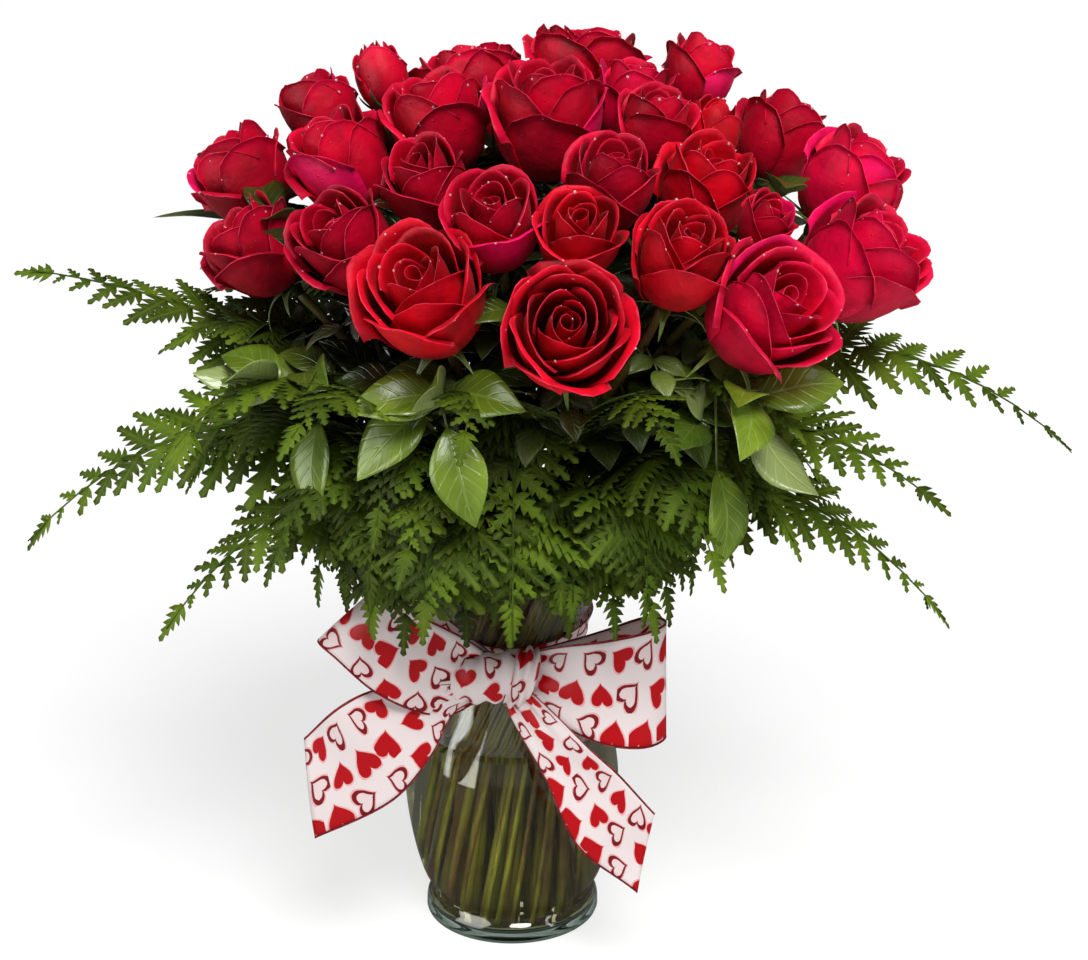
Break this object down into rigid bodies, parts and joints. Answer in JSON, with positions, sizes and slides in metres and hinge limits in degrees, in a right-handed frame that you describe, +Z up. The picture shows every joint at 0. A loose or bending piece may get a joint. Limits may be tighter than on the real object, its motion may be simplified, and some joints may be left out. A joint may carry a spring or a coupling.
{
  "type": "roses in a vase",
  "caption": "Bouquet of open roses with fern fronds and leafy stems, standing in a clear glass vase of water with a wide ribbon tied in a bow round its neck.",
  "frame": {"origin": "centre of the flat underside of the vase's foot", "axes": "+Z up along the vase's axis; -Y to the front, where the bow is tied; +X to the right seen from the front"},
  "size_m": [0.6021, 0.4112, 0.5246],
  "materials": {
    "clear_glass": "gloss",
    "water": "gloss",
    "petal": "satin",
    "rose_stem": "satin",
    "fern": "satin",
    "leaf": "satin",
    "satin_ribbon": "satin"
  },
  "bodies": {
    "root": {"fern_frond_back": "fern", "fern_frond_back_left": "fern", "fern_frond_back_right": "fern", "fern_frond_front": "fern", "fern_frond_front_left": "fern", "fern_frond_front_right": "fern", "fern_frond_left_long": "fern", "fern_frond_left_lower": "fern", "fern_frond_left_upper": "fern", "fern_frond_right": "fern", "fern_frond_right_long": "fern", "fern_frond_right_lower": "fern", "leafy_stem_back": "leaf", "leafy_stem_front": "leaf", "leafy_stem_left": "leaf", "leafy_stem_right": "leaf", "ribbon": "satin_ribbon", "rose_01": "petal", "rose_02": "petal", "rose_03": "petal", "rose_04": "petal", "rose_05": "petal", "rose_06": "petal", "rose_07": "petal", "rose_08": "petal", "rose_09": "petal", "rose_10": "petal", "rose_11": "petal", "rose_12": "petal", "rose_13": "petal", "rose_14": "petal", "rose_15": "petal", "rose_16": "petal", "rose_17": "petal", "rose_18": "petal", "rose_19": "petal", "rose_20": "petal", "rose_21": "petal", "rose_22": "petal", "rose_23": "petal", "rose_24": "petal", "rose_25": "petal", "rose_26": "petal", "rose_27": "petal", "rose_28": "petal", "rose_29": "petal", "rose_30": "petal", "rose_31": "petal", "rose_32": "petal", "rose_33": "petal", "rose_stems_back": "rose_stem", "rose_stems_back_left": "rose_stem", "rose_stems_back_right": "rose_stem", "rose_stems_front": "rose_stem", "rose_stems_front_left": "rose_stem", "rose_stems_left": "rose_stem", "rose_stems_middle": "rose_stem", "rose_stems_right": "rose_stem", "vase": "clear_glass", "water": "water"}
  },
  "joints": []
}
